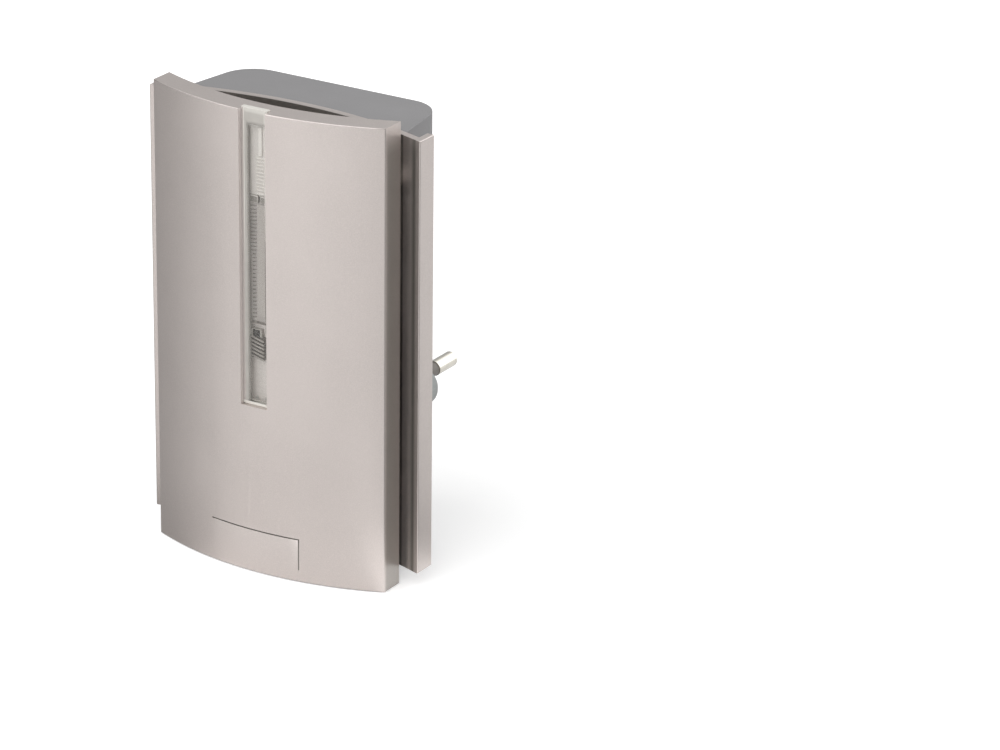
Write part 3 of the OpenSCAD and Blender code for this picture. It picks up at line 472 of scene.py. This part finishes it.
PAINT = srgb(195, 187, 183)
MATERIALS = {
    "panel_paint": satin_paint("panel_paint", PAINT, painted_shade=shade_in_joint_and_line),
    "frame_paint": satin_paint("frame_paint", PAINT, painted_shade=shade_in_joint, level=(0.27, 0.29, 0.27)),
    "clear_window": window_clear("clear_window"),
    "frosted_guide": guide_plastic("frosted_guide", srgb(212, 207, 201), srgb(166, 160, 155)),
    "guide_ribs": guide_plastic("guide_ribs", srgb(232, 228, 222), srgb(172, 166, 160)),
    "tray_plastic": moulded("tray_plastic", srgb(200, 194, 188), 0.45, 3.0, 0.1),
    "housing_plastic": seam_shadowed("housing_plastic", srgb(126, 125, 126)),
    "plug_plastic": moulded("plug_plastic", srgb(150, 153, 152), 0.5, 2.6, 0.15),
    "sleeve_plastic": moulded("sleeve_plastic", srgb(112, 106, 100), 0.4, 3.0, 0.1),
    "button_plastic": moulded("button_plastic", srgb(150, 150, 151), 0.45, 3.0, 0.15),
    "nickel": metal("nickel", srgb(222, 218, 208), 0.2),
    "brass": metal("brass", srgb(206, 186, 130), 0.3),
    "screw_steel": metal("screw_steel", srgb(196, 196, 192), 0.28, (14, 1, 14)),
    "basket_steel": metal("basket_steel", srgb(176, 177, 178), 0.35),
    "yoke_steel": metal("yoke_steel", srgb(186, 186, 186), 0.3, (14, 1, 14)),
    "crystal_can": metal("crystal_can", srgb(206, 206, 204), 0.3),
    "green_board": circuit("green_board", (0.02, 0.11, 0.045), (0.06, 0.24, 0.10)),
    "white_board": circuit("white_board", srgb(214, 208, 203), srgb(206, 200, 195)),
    "blue_board": circuit("blue_board", (0.015, 0.06, 0.12), (0.04, 0.14, 0.24)),
    "black_resin": moulded("black_resin", (0.02, 0.02, 0.022), 0.5, 4.0, 0.2),
    "dark_led": lamp_case("dark_led"),
    "baffle_resin": fins("baffle_resin"),
    "film_box": moulded("film_box", srgb(216, 190, 72), 0.35, 2.5, 0.15),
    "can_sleeve": banded("can_sleeve", srgb(38, 46, 88), [srgb(196, 200, 206)], 19, 4, 0.9, 0.25),
    "fuse_glaze": banded("fuse_glaze", srgb(190, 166, 128),
                         [srgb(110, 60, 30), srgb(30, 30, 30), srgb(150, 120, 40)], -18.3, 1.8, 0.4),
    "diode_glaze": banded("diode_glaze", srgb(36, 36, 38), [srgb(206, 206, 206)] * 2, 9.2, 9.4, 0.5),
    "red_wire": moulded("red_wire", srgb(170, 34, 28), 0.35, 3.0, 0.1),
    "lamp_wire": soldered("lamp_wire", srgb(170, 34, 28), TRAY_BACK),
    "guide_marks": moulded("guide_marks", srgb(84, 81, 76), 0.4, 3.0, 0.08),
    "guide_band": moulded("guide_band", srgb(122, 118, 112), 0.4, 3.0, 0.08),
    "brown_wire": moulded("brown_wire", srgb(120, 60, 40), 0.35, 3.0, 0.1),
    "black_wire": moulded("black_wire", srgb(30, 30, 32), 0.35, 3.0, 0.1),
    "ferrite": moulded("ferrite", srgb(58, 58, 60), 0.65, 1.8, 0.4),
    "cone_paper": pulp("cone_paper", (0.02, 0.02, 0.021)),
    "surround_rubber": moulded("surround_rubber", (0.012, 0.012, 0.012), 0.6, 3.0, 0.2),
    "copper": metal("copper", srgb(196, 120, 72), 0.3, (1, 26, 1)),
}
COATS = {
    "front_panel": "panel_paint", "lens_cover": "clear_window", "light_guide": "frosted_guide",
    "light_tray": "tray_plastic", "tray_screws": "screw_steel", "led_board": "white_board",
    "indicator_led": "dark_led", "light_baffle": "baffle_resin", "front_frame": "frame_paint",
    "panel_screws": "screw_steel", "rear_housing": "housing_plastic", "housing_screws": "screw_steel",
    "plug_body": "plug_plastic", "live_pin": "nickel", "neutral_pin": "nickel", "pin_sleeves": "sleeve_plastic",
    "pin_tabs": "brass", "mains_wires": "brown_wire", "main_board": "green_board", "board_screws": "screw_steel",
    "film_capacitor": "film_box", "reservoir_capacitor": "can_sleeve", "fuse_resistor": "fuse_glaze",
    "rectifier_diodes": "diode_glaze", "melody_chip": "black_resin", "crystal": "crystal_can",
    "receiver_module": "blue_board", "antenna_wire": "red_wire", "melody_switch": "black_resin",
    "volume_switch": "black_resin", "melody_plunger": "tray_plastic", "volume_plunger": "tray_plastic",
    "melody_button": "button_plastic", "volume_button": "button_plastic", "speaker_basket": "basket_steel",
    "speaker_magnet": "ferrite", "speaker_yoke": "yoke_steel", "speaker_cone": "cone_paper",
    "speaker_surround": "surround_rubber", "voice_coil": "copper", "dust_cap": "cone_paper",
    "speaker_screws": "screw_steel", "speaker_wires": "black_wire", "led_wires": "lamp_wire",
}
for node, coat in COATS.items():
    for material_slot in nodes[node].material_slots:
        material_slot.material = MATERIALS[coat]


# ---- shapes ----
# Widths of the rounded edges in millimetres
ROUND = dict(front_panel=0.2, rear_housing=0.5, plug_body=0.4, button=0.35, front_frame=0.3)
# Degrees below which two faces are shaded as one, are merged, or keep the edge between them as it is
SMOOTH_ANGLE = 28
FLAT_ANGLE = 0.3
EDGE_ANGLE = 25
# Metres below which two corners are one
WELD = 2e-6


def finish_mesh(bm, name, coat, body="chime", stands_for=()):
    """Turns a bmesh into a piece that rides on a body."""
    bmesh.ops.recalc_face_normals(bm, faces=bm.faces)
    mesh = bpy.data.meshes.new(name)
    bm.to_mesh(mesh)
    bm.free()
    for face in mesh.polygons:
        face.use_smooth = True
    mesh.set_sharp_from_angle(angle=math.radians(SMOOTH_ANGLE))
    mesh.materials.append(MATERIALS[coat])
    piece = bpy.data.objects.new(name, mesh)
    bpy.context.scene.collection.objects.link(piece)
    weigh = piece.modifiers.new("weigh", "WEIGHTED_NORMAL")
    weigh.keep_sharp = True
    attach(piece, body)
    if stands_for:
        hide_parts(*stands_for)
    return piece


def rounded_copy(node, coat, width, test, body="chime"):
    """The node's own shape with some of its edges rounded, as a piece that stands for it."""
    bm = bmesh.new()
    bm.from_mesh(nodes[node].data)
    bmesh.ops.remove_doubles(bm, verts=bm.verts, dist=WELD)
    bmesh.ops.dissolve_limit(bm, angle_limit=math.radians(FLAT_ANGLE), verts=bm.verts, edges=bm.edges)
    edges = []
    for e in bm.edges:
        if len(e.link_faces) != 2 or e.calc_face_angle(0.0) < math.radians(EDGE_ANGLE):
            continue
        if test(local(e.verts[0].co), local(e.verts[1].co)):
            edges.append(e)
    bmesh.ops.bevel(bm, geom=edges, offset=width / 1000, offset_type="OFFSET", segments=3, profile=0.5,
                    affect="EDGES", clamp_overlap=True)
    return finish_mesh(bm, node + "_shape", coat, body, [node])


def both(test):
    """A test of an edge that both its ends have to pass."""
    return lambda a, b: test(*a) and test(*b)


def panel_edge(a, b):
    """The front edges of the panel's two ends and its upright front edges."""
    if all(abs(p[2]) > PANEL_TOP - TIGHT and p[1] < PANEL["rim"] - 2 * NEAR for p in (a, b)):
        return all(abs(p[0]) > PANEL_HALF - TIGHT
                   or abs(p[1] - panel_y(min(abs(p[0]), PANEL_HALF - 2 * NEAR))) < NEAR for p in (a, b))
    return all(abs(p[0]) > PANEL_HALF - TIGHT and p[1] < 2 * NEAR for p in (a, b))


def housing_edge(x, y, z):
    """On the housing's back, top or bottom."""
    return y > HOUSING["back"] - NEAR or abs(z) > HOUSING["h"] / 2 - NEAR


def frame_edge(x, y, z):
    """On the outer edges of the frame's side flanges."""
    front, back = FRAME["back"] + NEAR, FRAME["back"] + FRAME["flange"] - NEAR
    return abs(x) > FRAME_HALF - TIGHT and (y < front or y > back or abs(z) > FRAME["h"] / 2 - TIGHT)


rounded_copy("front_panel", "panel_paint", ROUND["front_panel"], panel_edge)
rounded_copy("rear_housing", "housing_plastic", ROUND["rear_housing"], both(housing_edge))
rounded_copy("plug_body", "plug_plastic", ROUND["plug_body"],
             both(lambda x, y, z: y > PLUG_FACE - NEAR))
for push in ("melody", "volume"):
    outer = min(v.co.x for v in nodes[push + "_button"].data.vertices) * 1000
    rounded_copy(push + "_button", "button_plastic", ROUND["button"],
                 both(lambda x, y, z: x < outer + NEAR), body=push + "_push")
rounded_copy("front_frame", "frame_paint", ROUND["front_frame"], both(frame_edge))


# How far the guide's ribs and its marks stand out from its bar, and how far both are sunk into it
RIB_OUT = 0.25
MARK_OUT = 0.2
ROOT = 0.1
# Rows on the guide's face: from and to across it, from and to below along it, and their step, height and lean
RIBS = dict(x=(-0.3, 2.4), z=(38.4, 47.9), step=0.9, height=0.45)
UPPER_MARKS = dict(x=(-2.45, -0.4), z=(23.8, 35.6), step=0.95, height=0.36, lean=0.25)
LOWER_MARKS = dict(x=(-1.65, -0.65), z=(6.5, 23.2), step=1.02, height=0.36, lean=0.15)
# Single bars on its face, and the two blocks in its dark gap
BRIGHT_RIB = dict(x=(0.35, 1.45), z=(48.2, 55.5))
LOWER_BAR = dict(x=(-0.2, 2.1), z=(7.0, 35.8))
GAP_BLOCKS = ((-2.5, 0.1), (0.75, 2.5))
# The gap's floor lies this far behind the guide's face, and overlaps the bars beside it
GAP_DEPTH, GAP_OVERLAP, BLOCK_OVERLAP, BLOCK_ROOT = 0.3, 0.1, 0.05, 0.4
# Materials after the guide's own, and their places in the mesh
GUIDE_COATS = ("guide_marks", "guide_band", "guide_ribs")
DARK, MIDDLE, PALE = 1, 2, 3


def rows(low, high, step):
    """Heights from low to below high, a step apart."""
    return [low + i * step for i in range(math.ceil((high - low) / step))]


def make_guide():
    """The light guide: a frosted bar with ribs, a bright rib at its top, a dark gap and rows of fine marks."""
    tip, rear = GUIDE["front"], GUIDE["back"]
    face = tip + RIB_OUT
    mark = face - MARK_OUT
    bm = bmesh.new()

    def bar(x0, x1, y0, y1, z0, z1, lean=0.0, mat=0):
        """A block whose left end is lower by the lean, with its front edges rounded."""
        corners = [(x0, z0 - lean), (x1, z0), (x1, z1), (x0, z1 - lean)]
        back = [bm.verts.new(at(x, y1, z)) for x, z in corners]
        front = [bm.verts.new(at(x, y0, z)) for x, z in corners]
        made = [bm.faces.new(front), bm.faces.new(back[::-1])]
        for i in range(4):
            j = (i + 1) % 4
            made.append(bm.faces.new((back[i], back[j], front[j], front[i])))
        for f in made:
            f.material_index = mat
        width = min(abs(x1 - x0), abs(z1 - z0), abs(y1 - y0)) * 0.3
        bmesh.ops.bevel(bm, geom=list(made[0].edges), offset=width / 1000, offset_type="OFFSET", segments=2,
                        profile=0.5, affect="EDGES")

    def row(out_to, mat, x, z, step, height, lean=0.0):
        for foot in rows(*z, step):
            bar(*x, out_to, face + ROOT, foot, foot + height, lean, mat)

    half, low, top = GUIDE["half"], GUIDE["low"], GUIDE["top"]
    bar(-half, half, face, rear, low, BAND[0])
    bar(-half, half, face, rear, BAND[1], top)
    bar(-half, half, face + GAP_DEPTH, rear, BAND[0] - GAP_OVERLAP, BAND[1] + GAP_OVERLAP, mat=DARK)
    for x in GAP_BLOCKS:
        bar(*x, tip, face + BLOCK_ROOT, BAND[0] - BLOCK_OVERLAP, BAND[1] + BLOCK_OVERLAP, mat=MIDDLE)
    row(tip, PALE, **RIBS)
    bar(*BRIGHT_RIB["x"], tip, face + ROOT, *BRIGHT_RIB["z"], mat=PALE)
    row(mark, DARK, **UPPER_MARKS)
    row(mark, DARK, **LOWER_MARKS)
    bar(*LOWER_BAR["x"], mark, face + ROOT, *LOWER_BAR["z"], mat=PALE)
    made = finish_mesh(bm, "light_guide_shape", "frosted_guide", stands_for=["light_guide"])
    for coat in GUIDE_COATS:
        made.data.materials.append(MATERIALS[coat])


make_guide()

# ---- stage ----
# Strength of the floor's own light for the camera and for mirror-like and clear surfaces
GLOW = 0.04
# The floor's own light for the camera, from under the object outwards (metres, strength)
FLOOR_GLOW = ((0.1, 0.28), (0.7, 0.8))
FLOOR_Z = -PANEL_TOP
FLOOR_GAP = 0.0002
FLOOR_HALF = 6
# A bright patch of floor, in millimetres, that only reflections see
FOOT = dict(x=(33.0, 50.0), y=(30.0, 20.0), soft=2.0, level=0.5)
# The grey bowl: its level, how much it covers by azimuth, its rings (radius, height) and steps round it
FLAG_LEVEL = 0.2
FLAG_RINGS = ((0.016, -0.0001), (0.06, -0.0001), (0.45, -0.0001), (0.50, 0.06), (0.50, 0.5))
FLAG_STEPS = 96
FLAG_Y = 10
# The innermost ring starts at this step, and towards the middle the cover turns by a share of the circle
FLAG_INNER_FROM = 50
FLAG_TURN = (0.065, 0.035, 0.0, 0.02)
FLAGS = ((-180, 0.3), (-150, 0.6), (-110, 0.8), (-80, 0.75), (-30, 0.0), (-8, 0.0), (12, 0.2), (25, 0.22), (60, 0.8),
         (100, 0.8), (130, 0.0))
# Strength of the world for the object
SKY = 0.30
# Lamps: place, target, size in metres and power in watts
LAMPS = dict(key=((-0.15, -0.60, 0.55), (-0.03, -0.2, -0.03), (1.5, 1.1), 9.5),
             side=((0.5, 0.55, 0.4), (0.15, 0.2, -0.03), (1.9, 1.4), 7.4))


def seen_by(s, rays):
    """1 for what the camera, a mirror-like surface or a clear one looks at."""
    sum_of = s.math("ADD", rays.outputs["Is Camera Ray"], rays.outputs["Is Glossy Ray"])
    return s.math("MINIMUM", s.math("ADD", sum_of, rays.outputs["Is Transmission Ray"]), 1)


def make_flags():
    """A grey bowl round the object that only reflections see: the studio's dark sides."""
    bm = bmesh.new()
    rings = []
    turns = [i * 2 * math.pi / FLAG_STEPS for i in range(FLAG_STEPS)]
    for radius, height in FLAG_RINGS:
        rings.append([bm.verts.new((radius * math.sin(a), -radius * math.cos(a), height)) for a in turns])
    for low, high in zip(rings, rings[1:]):
        for i in range(FLAG_STEPS):
            if low is not rings[0] or i >= FLAG_INNER_FROM:
                j = (i + 1) % FLAG_STEPS
                bm.faces.new((low[i], low[j], high[j], high[i]))
    mesh = bpy.data.meshes.new("flags")
    bm.to_mesh(mesh)
    bm.free()
    flags = bpy.data.objects.new("flags", mesh)
    flags.location = at(0, FLAG_Y, FLOOR_Z)
    bpy.context.scene.collection.objects.link(flags)
    for kind in ("camera", "diffuse", "transmission", "volume_scatter", "shadow"):
        setattr(flags, "visible_" + kind, False)
    s = Shader("flag_cloth")
    turn = s.node("ShaderNodeMapping")
    turn.inputs["Rotation"].default_value = (0, 0, math.pi / 2)
    s.link(s.place, turn.inputs["Vector"])
    angle = s.node("ShaderNodeTexGradient", gradient_type="RADIAL")
    s.link(turn.outputs["Vector"], angle.inputs["Vector"])
    ramp_node = s.node("ShaderNodeValToRGB")
    ramp = ramp_node.color_ramp
    ramp.interpolation = "EASE"
    for i, (azimuth, cover) in enumerate(FLAGS):
        stop = ramp.elements[i] if i < 2 else ramp.elements.new(1)
        stop.position = (azimuth + 180) / 360
        stop.color = (cover, cover, cover, 1)
    reach = s.node("ShaderNodeVectorMath", operation="LENGTH")
    s.link(s.place, reach.inputs[0])
    turned = s.math("SUBTRACT", angle.outputs["Fac"], s.spread(reach.outputs["Value"], *FLAG_TURN))
    s.link(turned, ramp_node.inputs["Fac"])
    grey = s.node("ShaderNodeEmission")
    grey.inputs["Strength"].default_value = FLAG_LEVEL
    clear_part = s.node("ShaderNodeBsdfTransparent")
    mix = s.node("ShaderNodeMixShader")
    s.link(ramp_node.outputs["Color"], mix.inputs["Fac"])
    s.link(clear_part.outputs[0], mix.inputs[1])
    s.link(grey.outputs[0], mix.inputs[2])
    s.link(mix.outputs[0], s.tree.nodes["Material Output"].inputs["Surface"])
    mesh.materials.append(s.material)


def make_stage():
    """White floor and surroundings for the camera, a softer world for the object, and two lamps."""
    bm = bmesh.new()
    bmesh.ops.create_grid(bm, x_segments=2, y_segments=2, size=FLOOR_HALF)
    mesh = bpy.data.meshes.new("floor")
    bm.to_mesh(mesh)
    bm.free()
    floor = bpy.data.objects.new("floor", mesh)
    floor.location = (0, 0, at(0, 0, FLOOR_Z).z - FLOOR_GAP)
    bpy.context.scene.collection.objects.link(floor)
    s = Shader("floor_paper")
    s.set(Roughness=0.9)
    s.colour(s.blend(s.spread(s.noise(0.004, 2.0), 0.3, 0.7), (0.84, 0.84, 0.84), (0.86, 0.86, 0.86)))
    rays = s.node("ShaderNodeLightPath")
    glow = s.node("ShaderNodeEmission")
    glow.inputs["Color"].default_value = (1, 1, 1, 1)
    far = s.node("ShaderNodeVectorMath", operation="LENGTH")
    s.link(s.place, far.inputs[0])
    (near_at, near_glow), (far_at, far_glow) = FLOOR_GLOW
    own = s.math("MULTIPLY", rays.outputs["Is Camera Ray"],
                 s.spread(far.outputs["Value"], near_at, far_at, near_glow, far_glow))
    x, y, z = s.mm()
    foot = s.times(s.within(x, *FOOT["x"], FOOT["soft"]), s.spread(y, *FOOT["y"]), rays.outputs["Is Glossy Ray"])
    shine = s.math("ADD", s.math("MULTIPLY", seen_by(s, rays), GLOW), s.math("MULTIPLY", foot, FOOT["level"]))
    s.link(s.math("ADD", own, shine), glow.inputs["Strength"])
    add = s.node("ShaderNodeAddShader")
    s.link(s.main.outputs[0], add.inputs[0])
    s.link(glow.outputs[0], add.inputs[1])
    s.link(add.outputs[0], s.tree.nodes["Material Output"].inputs["Surface"])
    mesh.materials.append(s.material)

    make_flags()
    world = bpy.data.worlds.new("studio")
    bpy.context.scene.world = world
    world.use_nodes = True
    tree = world.node_tree
    back = tree.nodes["Background"]
    back.inputs["Color"].default_value = (1, 1, 1, 1)
    s.tree = tree
    rays = s.node("ShaderNodeLightPath")
    s.link(s.spread(seen_by(s, rays), 0, 1, SKY, 1.0), back.inputs["Strength"])

    for name, (place, target, size, power) in LAMPS.items():
        data = bpy.data.lights.new(name, "AREA")
        data.shape = "RECTANGLE"
        data.size, data.size_y = size
        data.energy = power
        made = bpy.data.objects.new(name, data)
        made.location = place
        made.rotation_euler = (Vector(target) - Vector(place)).to_track_quat("-Z", "Y").to_euler()
        made.visible_camera = False
        bpy.context.scene.collection.objects.link(made)


make_stage()
